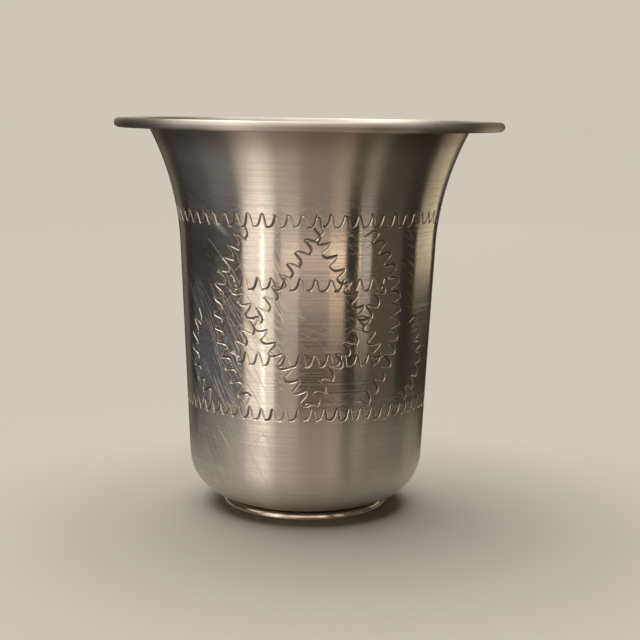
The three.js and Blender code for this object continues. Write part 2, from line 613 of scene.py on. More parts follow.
    def cutter(self, lines: list[Wriggle], kind: Stroke, dressing: bpy.types.Material) -> bpy.types.Object:
        """Make the tool that cuts every down or every up stroke of a set of lines.

        Args:
            lines: lines that don't cross one another.
            kind: which strokes to cut.
            dressing: the finish of the cut faces.

        Returns:
            An object of closed round strokes, half sunk in the wall.
        """
        curve = bpy.data.curves.new("graver_strokes", "CURVE")
        curve.dimensions = "3D"
        curve.bevel_depth = self.graver_radius * MM
        curve.bevel_resolution = self.graver_rounding
        curve.use_fill_caps = True
        curve.twist_mode = "MINIMUM"
        usual_bite = self.down_bite if kind is Stroke.DOWN else self.up_bite
        for line in lines:
            corners = self.corners(line)
            for i in range(kind.value, 2 * line.teeth, 2):
                places = self.stroke(line, corners[i], corners[i + 1], kind)
                bite = usual_bite + self.hand.uniform(-self.bite_error, self.bite_error)
                self.add_stroke(curve, places, bite)
        path = bpy.data.objects.new("graver_strokes", curve)
        bpy.context.scene.collection.objects.link(path)
        shape = bpy.data.meshes.new_from_object(path.evaluated_get(bpy.context.evaluated_depsgraph_get()))
        strokes = bmesh.new()
        strokes.from_mesh(shape)
        bmesh.ops.remove_doubles(strokes, verts=strokes.verts[:], dist=WELD)
        bmesh.ops.recalc_face_normals(strokes, faces=strokes.faces[:])
        bpy.data.objects.remove(path)
        bpy.data.curves.remove(curve)
        bpy.data.meshes.remove(shape)
        tool = new_piece("graver_cut", strokes)
        tool.data.materials.append(dressing)
        return tool


@dataclass(frozen=True)
class Fade:
    """A smooth passage: the readings where it starts and ends, and the values given there."""

    start: float
    end: float
    low: float = 0.0
    high: float = 1.0


@dataclass(frozen=True)
class Mask:
    """A value that varies over a piece, such as how strongly it is scratched."""

    tree: bpy.types.NodeTree
    socket: bpy.types.NodeSocket

    def __mul__(self, other: "Mask") -> "Mask":
        """Keep what both masks hold."""
        return self.joined(other, Join.BOTH)

    def __or__(self, other: "Mask") -> "Mask":
        """Take the stronger of the two masks."""
        return self.joined(other, Join.STRONGER)

    def __add__(self, other: "Mask") -> "Mask":
        """Add the other mask on top."""
        return self.joined(other, Join.SUM)

    def joined(self, other: "Mask", how: Join) -> "Mask":
        """Work this mask and another together.

        Args:
            other: the other mask.
            how: the way they are worked together.

        Returns:
            The new mask.
        """
        links = {0: self.socket, 1: other.socket}
        node = add_node(self.tree, "ShaderNodeMath", {"operation": how.value}, links)
        return Mask(self.tree, node.outputs[0])

    def fade(self, passage: Fade) -> "Mask":
        """Pass smoothly from one value to another as this mask's own value changes.

        Args:
            passage: where the passage starts and ends, and its values there.

        Returns:
            The new mask.
        """
        limits = {
            "interpolation_type": "SMOOTHSTEP",
            "From Min": passage.start,
            "From Max": passage.end,
            "To Min": passage.low,
            "To Max": passage.high,
        }
        node = add_node(self.tree, "ShaderNodeMapRange", limits, {"Value": self.socket})
        return Mask(self.tree, node.outputs["Result"])


class WallPlace:
    """Where a point lies on the cup, for a finish to read: across, out and up, in millimetres."""

    def __init__(self, tree: bpy.types.NodeTree) -> None:
        """Add the nodes that find the place.

        Args:
            tree: the finish's node tree.
        """
        self.tree = tree
        self.place = add_node(tree, "ShaderNodeTexCoord").outputs["Object"]
        self.normal = add_node(tree, "ShaderNodeNewGeometry").outputs["Normal"]
        sized = add_node(
            tree, "ShaderNodeVectorMath", {"operation": "SCALE", "Scale": 1 / MM}, {0: self.place},
        ).outputs[0]
        split = add_node(tree, "ShaderNodeSeparateXYZ", {}, {0: sized})
        flat = add_node(
            tree, "ShaderNodeVectorMath", {"operation": "MULTIPLY", 1: (1, 1, 0)}, {0: sized},
        ).outputs[0]
        out = add_node(tree, "ShaderNodeVectorMath", {"operation": "LENGTH"}, {0: flat})
        self.way = add_node(tree, "ShaderNodeVectorMath", {"operation": "NORMALIZE"}, {0: flat}).outputs[0]
        front = add_node(
            tree, "ShaderNodeMath", {"operation": "MULTIPLY", 1: -1.0}, {0: split.outputs["Y"]},
        )
        angle = add_node(
            tree, "ShaderNodeMath", {"operation": "ARCTAN2"}, {0: split.outputs["X"], 1: front.outputs[0]},
        )
        across = add_node(
            tree, "ShaderNodeMath", {"operation": "MULTIPLY", 1: WALL_RADIUS}, {0: angle.outputs[0]},
        )
        self.across = Mask(tree, across.outputs[0])
        self.out = Mask(tree, out.outputs["Value"])
        self.up = Mask(tree, split.outputs["Z"])
        unrolled = add_node(
            tree, "ShaderNodeCombineXYZ", {}, {"X": self.across.socket, "Y": self.up.socket},
        )
        self.unrolled = unrolled.outputs[0]


@dataclass(frozen=True)
class Brush:
    """Level brush lines that run round the cup: their pitch and usual length, in millimetres.

    Real brush lines are finer than the render can show, so they are drawn as coarse as they need to show.
    """

    pitch: float
    length: float
    octaves: float
    harshness: float = 0.6

    def mask(self, wall: WallPlace) -> Mask:
        """Draw the lines.

        Args:
            wall: where the points lie.

        Returns:
            The noise of the lines, 0 to 1.
        """
        tree = wall.tree
        rows = add_node(
            tree, "ShaderNodeMath",
            {"operation": "MULTIPLY", 1: 1 / self.pitch}, {0: (wall.up + wall.out).socket},
        )
        lift = add_node(tree, "ShaderNodeCombineXYZ", {}, {"Z": rows.outputs[0]})
        where = add_node(
            tree, "ShaderNodeVectorMath",
            {"operation": "MULTIPLY_ADD", 1: (WALL_RADIUS / self.length,) * 3},
            {0: wall.way, 2: lift.outputs[0]},
        )
        noise = add_node(
            tree, "ShaderNodeTexNoise",
            {"Scale": 1.0, "Detail": self.octaves, "Roughness": self.harshness},
            {"Vector": where.outputs[0]},
        )
        return Mask(tree, noise.outputs["Fac"])


@dataclass(frozen=True)
class Scratches:
    """A field of fine scratches that lean one way across the unrolled wall, in millimetres and degrees.

    Each scratch has its own cell of a slanting grid, and a share of the cells hold one. A lean above 0
    rises to the right. Real scratches are finer than the render can show, so they are drawn as wide as
    they need to show.
    """

    lean: float
    pitch: float
    length: float
    share: float
    # Of the scratches, the share at full strength; and how many cells a row may slide
    full_share: float = 0.6
    slide: float = 9.0
    # How far a scratch wanders from straight, and how often in a millimetre
    wander: float = 0.9
    wander_rate: float = 0.07
    # From the edge of a cell, 0, to its middle, 0.5: across the scratch, and towards its ends
    profile: Fade = Fade(0.27, 0.47)
    taper: Fade = Fade(0.0, 0.3)

    def mask(self, wall: WallPlace) -> Mask:
        """Draw the scratches.

        Args:
            wall: where the points lie.

        Returns:
            Up to 1 on a scratch and 0 elsewhere.
        """
        tree = wall.tree
        bend = add_node(
            tree, "ShaderNodeTexNoise",
            {"noise_dimensions": "2D", "Scale": self.wander_rate, "Detail": 0.0}, {"Vector": wall.unrolled},
        )
        bent = add_node(
            tree, "ShaderNodeVectorMath",
            {"operation": "MULTIPLY_ADD", 1: (self.wander, self.wander, 0.0)},
            {0: bend.outputs["Color"], 2: wall.unrolled},
        )
        turned = add_node(
            tree, "ShaderNodeMapping",
            {
                "vector_type": "TEXTURE",
                "Rotation": (0.0, 0.0, math.radians(self.lean)),
                "Scale": (self.length, self.pitch, 1.0),
            },
            {"Vector": bent.outputs[0]},
        )
        grid = add_node(tree, "ShaderNodeSeparateXYZ", {}, {0: turned.outputs[0]})
        row = add_node(tree, "ShaderNodeMath", {"operation": "FLOOR"}, {0: grid.outputs["Y"]}).outputs[0]
        slid = add_node(tree, "ShaderNodeTexWhiteNoise", {"noise_dimensions": "1D"}, {"W": row})
        along = add_node(
            tree, "ShaderNodeMath",
            {"operation": "MULTIPLY_ADD", 1: self.slide}, {0: slid.outputs["Value"], 2: grid.outputs["X"]},
        ).outputs[0]
        column = add_node(tree, "ShaderNodeMath", {"operation": "FLOOR"}, {0: along}).outputs[0]
        cell = add_node(tree, "ShaderNodeCombineXYZ", {}, {"X": column, "Y": row}).outputs[0]
        luck = add_node(tree, "ShaderNodeTexWhiteNoise", {"noise_dimensions": "2D"}, {"Vector": cell})
        held = Mask(tree, luck.outputs["Value"])
        chosen = held.fade(Fade(1 - self.share, 1 - self.full_share * self.share))
        # How far a point is from the nearer side and the nearer end of its cell, which is 1 each way
        aside, ends = (
            add_node(tree, "ShaderNodeMath", {"operation": "PINGPONG", 1: 0.5}, {0: way}).outputs[0]
            for way in (grid.outputs["Y"], along)
        )
        line = Mask(tree, aside).fade(self.profile) * Mask(tree, ends).fade(self.taper)
        return line * chosen


@dataclass(frozen=True)
class Streak:
    """One straight scratch or scuff, in millimetres across from the front and up the unrolled wall."""

    start: Pair
    end: Pair
    half_width: float
    # Across it, in half widths from its middle; and along it, as shares of its length
    profile: Fade = Fade(1.0, 0.0)
    start_taper: Fade = Fade(0.0, 0.2)
    end_taper: Fade = Fade(1.0, 0.6)

    def mask(self, wall: WallPlace) -> Mask:
        """Draw the streak.

        Args:
            wall: where the points lie.

        Returns:
            Up to 1 along its middle and 0 elsewhere.
        """
        tree = wall.tree
        run = Vector(self.end) - Vector(self.start)
        turned = add_node(
            tree, "ShaderNodeMapping",
            {
                "vector_type": "TEXTURE",
                "Location": (*self.start, 0.0),
                "Rotation": (0.0, 0.0, math.atan2(run.y, run.x)),
                "Scale": (run.length, self.half_width, 1.0),
            },
            {"Vector": wall.unrolled},
        )
        split = add_node(tree, "ShaderNodeSeparateXYZ", {}, {0: turned.outputs[0]})
        aside = add_node(tree, "ShaderNodeMath", {"operation": "ABSOLUTE"}, {0: split.outputs["Y"]})
        along = Mask(tree, split.outputs["X"])
        tapered = along.fade(self.start_taper) * along.fade(self.end_taper)
        return Mask(tree, aside.outputs[0]).fade(self.profile) * tapered


@dataclass(frozen=True)
class Pits:
    """Sparse round pits: millimetres between their places, their radius, and the share of places filled."""

    spacing: float
    radius: float
    share: float
    full_share: float = 0.8
    flat_part: float = 0.5

    def mask(self, wall: WallPlace) -> Mask:
        """Draw the pits.

        Args:
            wall: where the points lie.

        Returns:
            Up to 1 in a pit and 0 elsewhere.
        """
        tree = wall.tree
        scale = {"Scale": 1 / (self.spacing * MM)}
        cells = add_node(tree, "ShaderNodeTexVoronoi", scale, {"Vector": wall.place})
        luck = add_node(tree, "ShaderNodeSeparateColor", {}, {0: cells.outputs["Color"]})
        held = Mask(tree, luck.outputs[0])
        chosen = held.fade(Fade(1 - self.share, 1 - self.full_share * self.share))
        reach = self.radius / self.spacing
        dots = Mask(tree, cells.outputs["Distance"]).fade(Fade(reach, self.flat_part * reach))
        return dots * chosen


@dataclass(frozen=True)
class Clouds:
    """Soft clouds: their usual width in millimetres, and the readings of the noise that give 0 and 1."""

    size: float
    low: float
    high: float
    octaves: float = 3.0
    harshness: float = 0.55

    def mask(self, wall: WallPlace) -> Mask:
        """Draw the clouds.

        Args:
            wall: where the points lie.

        Returns:
            The clouds, 0 to 1.
        """
        noise = add_node(
            wall.tree, "ShaderNodeTexNoise",
            {"Scale": 1 / (self.size * MM), "Detail": self.octaves, "Roughness": self.harshness},
            {"Vector": wall.place},
        )
        limits = {"From Min": self.low, "From Max": self.high}
        spread = add_node(wall.tree, "ShaderNodeMapRange", limits, {"Value": noise.outputs["Fac"]})
        return Mask(wall.tree, spread.outputs["Result"])


@dataclass(frozen=True)
class Silver:
    """Sterling silver of some finish: the clean metal's colour, and its tarnish, whose colour also paints
    shade on the body and in the cuts.
    """

    name: str
    colour: str
    tarnish: str

    def dress(
        self,
        tree: bpy.types.NodeTree,
        darkening: Mask,
        roughness: Mask,
        settings: dict[str | int, object] | None = None,
        links: dict[str | int, bpy.types.NodeSocket] | None = None,
    ) -> None:
        """Add the metal itself.

        Args:
            tree: the finish's node tree.
            darkening: how far the tarnish colour darkens it, for tarnish and, on the body and in the cuts,
                for painted shade.
            roughness: how rough it is.
            settings: further values for the shader.
            links: further sockets for the shader.
        """
        # A colour mix has its two colours on inputs 6 and 7 and its result on output 2
        # The tarnish colour also paints shade wherever the darkening holds painted shade
        colours = {"data_type": "RGBA", 6: linear(self.colour), 7: linear(self.tarnish)}
        colour = add_node(tree, "ShaderNodeMix", colours, {0: darkening.socket})
        shader = add_node(
            tree, "ShaderNodeBsdfPrincipled",
            {"Metallic": 1.0, **(settings or {})},
            {"Base Color": colour.outputs[2], "Roughness": roughness.socket, **(links or {})},
        )
        add_node(tree, "ShaderNodeOutputMaterial", {}, {"Surface": shader.outputs["BSDF"]})


@dataclass(frozen=True)
class SpunSilver(Silver):
    """Sterling silver, spun and brushed round: crisp upright reflections drawn out tall, fine level lines.

    Lengths are in millimetres. Fades read the level, the place across, or another mask.
    """

    name: str = "sterling_silver_spun"
    colour: str = "e0ddd6"
    tarnish: str = "8a7c66"
    anisotropy: float = 0.95
    brush_turn: float = 0.25
    # The brush lines: their roughness, the tarnish and painted shade that darken them, and their depth
    brush: Brush = Brush(0.3, 50.0, 3.0)
    brush_roughness: Fade = Fade(0.3, 0.7, 0.14, 0.22)
    brush_tarnish_and_shade: Fade = Fade(0.42, 0.66, high=0.18)
    brush_strength: float = 0.2
    brush_depth: float = 0.03
    # Handling has left slanting scratches in patches, thickest low on the left of the star
    scratches: tuple[Scratches, ...] = (
        Scratches(-50.0, 0.21, 15.0, 0.22),
        Scratches(-61.0, 0.18, 9.0, 0.3),
        Scratches(41.0, 0.2, 9.0, 0.05),
    )
    scratch_patches: Clouds = Clouds(11.0, 0.34, 0.56)
    scratches_start: Fade = Fade(-3.0, -12.0, 0.12, 1.0)
    scratches_end: Fade = Fade(-24.0, -54.0, 1.0, 0.12)
    scratches_down: Fade = Fade(56.0, 41.0, 0.1, 1.0)
    # Fine scuffs and small pits lie all over
    scuffs: tuple[Scratches, ...] = (Scratches(24.0, 0.16, 2.6, 0.22), Scratches(-31.0, 0.15, 3.4, 0.22))
    scuff_patches: Clouds = Clouds(7.0, 0.30, 0.62)
    scuff_strength: Fade = Fade(0.0, 1.0, high=0.2)
    pits: Pits = Pits(7.0, 0.28, 0.3)
    # One long scuff of fine lines crosses the flare to the star's upper left, with a thin scratch below it
    long_scuff_start: Pair = (-27.0, 66.0)
    long_scuff_end: Pair = (-13.5, 53.4)
    long_scuff_lines: tuple[float, ...] = (-0.9, -0.35, 0.0, 0.7)
    long_scuff_closing: float = 0.6
    long_scuff_half_width: float = 0.26
    thin_scratch: Streak = Streak((-20.4, 54.6), (-14.6, 48.9), 0.14)
    thin_scratch_strength: Fade = Fade(0.0, 1.0, high=0.7)
    mark_roughness: Fade = Fade(0.0, 1.0, high=0.4)
    mark_strength: float = 0.55
    mark_depth: float = 0.05
    # Tarnish lies in a soft film, and painted shade darkens the metal under the lip and low over the foot
    film_areas: Clouds = Clouds(22.0, 0.45, 0.75)
    film_grain: Clouds = Clouds(3.0, 0.2, 0.7)
    film_strength: Fade = Fade(0.0, 1.0, high=0.3)
    painted_foot_shade: Fade = Fade(5.0, 1.4, high=0.7)
    painted_lip_shade: Fade = Fade(68.0, 73.5, high=0.6)
    lip_edge: Fade = Fade(74.2, 74.6, 1.0, 0.0)
    tarnish_roughness: Fade = Fade(0.0, 1.0, high=0.1)
    # The belt round the star is polished brighter than the foot, the flare and the inside
    foot_satin: Fade = Fade(29.0, 15.0, high=0.19)
    flare_satin: Fade = Fade(55.0, 68.0, high=0.16)
    inside_satin: Fade = Fade(0.1, -0.1, high=0.17)
    # Use has worn the bead dull
    bead_wear: Fade = Fade(74.2, 74.8, high=0.26)

    def long_scuff(self) -> list[Streak]:
        """Lay out the long scuff's lines, which draw together towards its end.

        Returns:
            The lines.
        """
        return [
            Streak(
                (self.long_scuff_start[0] + aside, self.long_scuff_start[1]),
                (self.long_scuff_end[0] + self.long_scuff_closing * aside, self.long_scuff_end[1]),
                self.long_scuff_half_width,
            )
            for aside in self.long_scuff_lines
        ]

    def marks(self, wall: WallPlace) -> Mask:
        """Find the scratches, scuffs and pits.

        Args:
            wall: where the points lie.

        Returns:
            Up to 1 on a mark and 0 elsewhere.
        """
        falling, steep, rising = (lot.mask(wall) for lot in self.scratches)
        left = wall.across.fade(self.scratches_start) * wall.across.fade(self.scratches_end)
        left = left * wall.up.fade(self.scratches_down) * self.scratch_patches.mask(wall)
        upward, downward = (lot.mask(wall) for lot in self.scuffs)
        scuffed = (upward | downward) * self.scuff_patches.mask(wall)
        marks = (falling | steep | rising) * left | scuffed.fade(self.scuff_strength) | self.pits.mask(wall)
        for line in self.long_scuff():
            marks = marks | line.mask(wall)
        return marks | self.thin_scratch.mask(wall).fade(self.thin_scratch_strength)

    def tarnish_and_shade(self, wall: WallPlace, brush: Mask) -> Mask:
        """Find the tarnish, and the painted shade under the lip and over the foot.

        Args:
            wall: where the points lie.
            brush: the brush lines.

        Returns:
            Up to 1 where the metal is wholly tarnished or wholly in painted shade.
        """
        film = self.film_areas.mask(wall).fade(self.film_strength) * self.film_grain.mask(wall)
        # Painted shade, in the tarnish colour, under the lip and low over the foot
        painted_shade_under_lip = wall.up.fade(self.painted_lip_shade) * wall.up.fade(self.lip_edge)
        return wall.up.fade(self.painted_foot_shade) | painted_shade_under_lip | film | brush.fade(self.brush_tarnish_and_shade)

    def satin(self, wall: WallPlace) -> Mask:
        """Find how much rougher the metal is away from the polished belt.

        Args:
            wall: where the points lie.

        Returns:
            The roughness to add.
        """
        facing = add_node(
            wall.tree, "ShaderNodeVectorMath", {"operation": "DOT_PRODUCT"}, {0: wall.normal, 1: wall.way},
        )
        inside = Mask(wall.tree, facing.outputs["Value"]).fade(self.inside_satin)
        outside = wall.up.fade(self.foot_satin) | wall.up.fade(self.flare_satin)
        return (outside | inside) + wall.up.fade(self.bead_wear)

    def material(self) -> bpy.types.Material:
        """Build the material.

        Returns:
            The material, reading Object coordinates.
        """
        finish = new_finish(self.name)
        tree = finish.node_tree
        wall = WallPlace(tree)
        brush = self.brush.mask(wall)
        marks = self.marks(wall)
        # Tarnish, with painted shade under the lip and over the foot
        darkening = self.tarnish_and_shade(wall, brush)
        roughness = brush.fade(self.brush_roughness) + marks.fade(self.mark_roughness)
        roughness = roughness + darkening.fade(self.tarnish_roughness) + self.satin(wall)
        lines = add_node(
            tree, "ShaderNodeBump",
            {"Strength": self.brush_strength, "Distance": self.brush_depth * MM}, {"Height": brush.socket},
        )
        worn = add_node(
            tree, "ShaderNodeBump",
            {"invert": True, "Strength": self.mark_strength, "Distance": self.mark_depth * MM},
            {"Height": marks.socket, "Normal": lines.outputs["Normal"]},
        )
        tangent = add_node(tree, "ShaderNodeTangent", {"direction_type": "RADIAL", "axis": "Z"})
        self.dress(
            tree, darkening, roughness,
            {"Anisotropic": self.anisotropy, "Anisotropic Rotation": self.brush_turn},
            {"Normal": worn.outputs["Normal"], "Tangent": tangent.outputs["Tangent"]},
        )
        return finish


@dataclass(frozen=True)
class CutSilver(Silver):
    """Silver parted by a graver: bright at the lips of the cut, with tarnish lying dark in the bottom and
    painted shade on the walls that face down.
    """

    name: str = "sterling_silver_engraved"
    colour: str = "eae5dc"
    # A dark brown, both for the tarnish in the cuts and for the painted shade on their walls
    tarnish: str = "3a3026"
    roughness: Fade = Fade(0.0, 1.0, 0.26, 0.55)
    # Painted shade darkens the walls of a cut that face down, under its upper lip, the more the deeper they
    # lie; tarnish lies dark in the bottom
    painted_shade_under_lip: Fade = Fade(0.0, -0.5, high=0.9)
    painted_shade_depth: Fade = Fade(0.05, 0.5, 0.4, 1.0)
    bottom: Fade = Fade(0.4, 0.9, high=0.8)

    def material(self) -> bpy.types.Material:
        """Build the material.

        Returns:
            The material, reading how deep each point lies from the mesh.
        """
        finish = new_finish(self.name)
        tree = finish.node_tree
        wall = WallPlace(tree)
        noted = add_node(tree, "ShaderNodeAttribute", {"attribute_name": CUT_DEPTH})
        facing = add_node(tree, "ShaderNodeSeparateXYZ", {}, {0: wall.normal})
        depth = Mask(tree, noted.outputs["Fac"])
        up = Mask(tree, facing.outputs["Z"])
        # Painted shade on the walls that face down, joined with the tarnish in the bottom of the cut
        groove_tarnish_and_shade = up.fade(self.painted_shade_under_lip) * depth.fade(self.painted_shade_depth) | depth.fade(self.bottom)
        self.dress(tree, groove_tarnish_and_shade, groove_tarnish_and_shade.fade(self.roughness))
        return finish


@dataclass(frozen=True)
class RingSilver(Silver):
    """The foot's polished silver strip: bright along its outer edge, dull with tarnish at the seam."""

    name: str = "sterling_silver_foot"
    colour: str = "dfd8cb"
    tarnish: str = "5a4c3a"
    seam: Fade = Fade(1.35, 1.52)
    film: Clouds = Clouds(4.0, 0.6, 0.95)
    tarnish_roughness: Fade = Fade(0.0, 1.0, high=0.2)
    brush: Brush = Brush(0.2, 12.0, 2.0)
    brush_roughness: Fade = Fade(0.3, 0.7, 0.15, 0.32)
    brush_strength: float = 0.2
    brush_depth: float = 0.02

    def material(self) -> bpy.types.Material:
        """Build the material.

        Returns:
            The material, reading Object coordinates.
        """
        finish = new_finish(self.name)
        tree = finish.node_tree
        wall = WallPlace(tree)
        brush = self.brush.mask(wall)
        darkening = wall.up.fade(self.seam) | self.film.mask(wall)
        roughness = brush.fade(self.brush_roughness) + darkening.fade(self.tarnish_roughness)
        lines = add_node(
            tree, "ShaderNodeBump",
            {"Strength": self.brush_strength, "Distance": self.brush_depth * MM}, {"Height": brush.socket},
        )
        self.dress(tree, darkening, roughness, links={"Normal": lines.outputs["Normal"]})
        return finish


@dataclass
class CupBody:
    """The spun body of the cup with its engraving, in millimetres."""

    section: CupSection
    engraving: Engraving
    turn_steps: int = 240
    # Edges along each stretch of the section, outside and inside
    base_steps: int = 8
    corner_steps: int = 16
    wall_row: float = 1.6
    flare_steps: int = 22
    lip_steps: int = 10
    rim_steps: int = 4
    bead_steps: int = 24
    inner_flare_steps: int = 18
    inner_wall_steps: int = 10
    inner_corner_steps: int = 14
    inner_base_steps: int = 6
    # Points nearer to the true wall than this are on it
    on_wall_limit: float = 0.02

    def turned(self) -> bmesh.types.BMesh:
        """Turn the plain body: up the outside, round the bead, down the inside.

        Returns:
            A closed mesh.
        """
        s = self.section
        to_wall = math.pi / 2 - s.lean
        to_lip = s.flare_end_lean - s.lean
        bend = math.pi / 2 - s.flare_end_lean
        seat = math.asin((s.bead_radius - s.wall) / s.bead_radius)
        pen = SectionPen(0.0, s.base_level)
        pen.line(s.corner_centre.x, s.base_level, self.base_steps)
        pen.arc(s.corner_centre, to_wall, self.corner_steps)
        rows = round((s.flare_start - s.base_level - s.corner_radius) / self.wall_row)
        pen.line(s.wall_radius(s.flare_start), s.flare_start, rows)
        pen.arc(s.flare_centre, -to_lip, self.flare_steps)
        pen.arc(s.lip_centre, -bend, self.lip_steps)
        pen.line(s.bead_centre.x - s.bead_radius * math.cos(seat), s.height - s.wall, self.rim_steps)
        round_bead = 1.5 * math.pi + seat
        pen.arc(s.bead_centre, round_bead, self.bead_steps)
        pen.line(s.lip_centre.x, s.height, self.rim_steps)
        pen.arc(s.lip_centre, bend, self.lip_steps)
        pen.arc(s.flare_centre, to_lip, self.inner_flare_steps)
        inner = s.corner_radius - s.wall
        low = s.corner_centre + Vector((math.cos(s.lean), -math.sin(s.lean))) * inner
        pen.line(low.x, low.y, self.inner_wall_steps)
        pen.arc(s.corner_centre, -to_wall, self.inner_corner_steps)
        pen.line(0.0, s.base_level + s.wall, self.inner_base_steps)
        return pen.turned(self.turn_steps)

    def carve(self, body: bpy.types.Object, cut: bpy.types.Material) -> None:
        """Cut the engraving in the plain body.

        Args:
            body: the plain body, which keeps its name.
            cut: the finish of the cut faces.
        """
        tools = [
            self.engraving.cutter(lines, kind, cut) for lines in self.engraving.lines() for kind in Stroke
        ]
        for tool in tools:
            groove = body.modifiers.new("groove", "BOOLEAN")
            groove.operation = "DIFFERENCE"
            groove.solver = "MANIFOLD"
            groove.object = tool
            groove.material_mode = "TRANSFER"
        depsgraph = bpy.context.evaluated_depsgraph_get()
        carved = bpy.data.meshes.new_from_object(body.evaluated_get(depsgraph), depsgraph=depsgraph)
        plain = body.data
        body.modifiers.clear()
        body.data = carved
        bpy.data.meshes.remove(plain)
        for tool in tools:
            bpy.data.objects.remove(tool)

    def smooth(self, body: bpy.types.Object) -> None:
        """Give the wall its true turned normals, keep the lips of the cuts crisp and note their depth.

        Args:
            body: the carved body.
        """
        mesh = body.data
        edge_finishes: dict[int, set[int]] = {}
        for face in mesh.polygons:
            for loop in face.loop_indices:
                edge_finishes.setdefault(mesh.loops[loop].edge_index, set()).add(face.material_index)
        for edge, finishes in edge_finishes.items():
            mesh.edges[edge].use_edge_sharp = len(finishes) > 1
        wall_low = self.section.base_level + self.section.corner_radius
        wall_high = self.section.flare_end.y
        full_depth = self.engraving.graver_radius - self.engraving.graver_lift
        depths = mesh.attributes.new(CUT_DEPTH, "FLOAT", "POINT")
        turned = []
        for vertex in mesh.vertices:
            place = vertex.co / MM
            out = math.hypot(place.x, place.y)
            # A normal of zero keeps the one that the faces give
            normal = Vector((0.0, 0.0, 0.0))
            if wall_low < place.z < wall_high:
                radius, lean = self.section.outside(place.z)
                depths.data[vertex.index].value = min(max((radius - out) / full_depth, 0.0), 1.0)
                if abs(radius - out) < self.on_wall_limit:
                    flat = math.cos(lean) / out
                    normal = Vector((place.x * flat, place.y * flat, -math.sin(lean)))
            turned.append(normal)
        normals = [Vector((0.0, 0.0, 0.0))] * len(mesh.loops)
        for face in mesh.polygons:
            if face.material_index == 0:
                for loop in face.loop_indices:
                    normals[loop] = turned[mesh.loops[loop].vertex_index]
        mesh.normals_split_custom_set(normals)

    def build(self) -> bpy.types.Object:
        """Turn the body and cut the engraving in it.

        Returns:
            The finished piece.
        """
        body = new_piece("engraved_body", self.turned())
        cut = CutSilver().material()
        body.data.materials.append(SpunSilver().material())
        body.data.materials.append(cut)
        self.carve(body, cut)
        self.smooth(body)
        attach(body, ROOT)
        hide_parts("cup_body")
        return body


@dataclass
class FootRing:
    """The strip bent into a ring and soldered under the cup, in millimetres."""

    outer_radius: float
    height: float
    width: float = 2.4
    # How far the outer face tips at the foot and at the top
    foot_tip: float = math.radians(-9)
    top_tip: float = math.radians(53)
    edge: float = 0.15
    solder: float = 0.25
    turn_steps: int = 160
    face_steps: int = 14
    edge_steps: int = 4
    flat_steps: int = 3

    def build(self) -> bpy.types.Object:
        """Turn the ring: a flat underside, a round outer face that spreads to the foot, eased inner edges.

        Returns:
            The finished piece.
        """
        top = self.height + self.solder
        inner = self.outer_radius - self.width
        eased = inner + self.edge
        face_radius = top / (math.sin(self.top_tip) - math.sin(self.foot_tip))
        centre = Vector((self.outer_radius - face_radius, -face_radius * math.sin(self.foot_tip)))
        pen = SectionPen(eased, 0.0)
        pen.line(centre.x + face_radius * math.cos(self.foot_tip), 0.0, self.flat_steps)
        pen.arc(centre, self.top_tip - self.foot_tip, self.face_steps)
        pen.line(eased, top, self.flat_steps)
        pen.arc(Vector((eased, top - self.edge)), math.pi / 2, self.edge_steps)
        pen.line(inner, self.edge, self.flat_steps)
        pen.arc(Vector((eased, self.edge)), math.pi / 2, self.edge_steps)
        ring = new_piece("soldered_foot_ring", pen.turned(self.turn_steps))
        ring.data.materials.append(RingSilver().material())
        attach(ring, ROOT)
        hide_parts("foot_ring")
        return ring


@dataclass(frozen=True)
class PalePaint:
    """Matt emulsion paint on a board: one even pale tone with hardly any gloss."""

    name: str = "matt_pale_paint"
    colour: str = "c8c5c0"
    roughness: float = 0.9
    gloss: float = 0.1

    def material(self) -> bpy.types.Material:
        """Build the material.

        Returns:
            The material.
        """
        finish = new_finish(self.name)
        shader = add_node(
            finish.node_tree, "ShaderNodeBsdfPrincipled",
            {
                "Base Color": linear(self.colour),
                "Roughness": self.roughness,
                "Specular IOR Level": self.gloss,
            },
        )
        add_node(finish.node_tree, "ShaderNodeOutputMaterial", {}, {"Surface": shader.outputs["BSDF"]})
        return finish


@dataclass(frozen=True)
class PaleBackdrop:
    """An evenly lit studio backdrop: the floor's own tone with no shade in it."""

    name: str = "even_pale_backdrop"
    colour: str = "cec6b9"

    def material(self) -> bpy.types.Material:
        """Build the material.

        Returns:
            The material.
        """
        finish = new_finish(self.name)
        tree = finish.node_tree
        glow = add_node(tree, "ShaderNodeEmission", {"Color": linear(self.colour), "Strength": 1.0})
        add_node(tree, "ShaderNodeOutputMaterial", {}, {"Surface": glow.outputs[0]})
        return finish


@dataclass(frozen=True)
class Floor:
    """A plain pale floor and backdrop of one tone, and a mat that only the silver mirrors; millimetres."""

    size: float = 6000.0
    gap: float = 0.05
    mat_radius: float = 58.0
    mat_sides: int = 96
    dome_radius: float = 5400.0
    dome_sides: int = 48

    def build(self) -> None:
        """Lay the floor and the mat, and put the backdrop's dome over them."""
        paint = PalePaint().material()
        wide = bmesh.new()
        bmesh.ops.create_grid(wide, x_segments=1, y_segments=1, size=self.size * MM)
        bmesh.ops.translate(wide, verts=wide.verts[:], vec=(0.0, 0.0, -self.gap * MM))
        near = bmesh.new()
        bmesh.ops.create_circle(near, cap_ends=True, segments=self.mat_sides, radius=self.mat_radius * MM)
        dome = bmesh.new()
        bmesh.ops.create_uvsphere(
            dome, u_segments=self.dome_sides, v_segments=self.dome_sides // 2, radius=self.dome_radius * MM,
        )
        parts = {
            "floor": (wide, paint),
            "floor_mat": (near, paint),
            "backdrop": (dome, PaleBackdrop().material()),
        }
        for name, (mesh, finish) in parts.items():
            part = new_piece(name, mesh)
            part.data.materials.append(finish)
            part.visible_shadow = False
            part.visible_glossy = name == "floor_mat"
            part.visible_camera = name != "floor_mat"
            part.visible_diffuse = name == "floor"


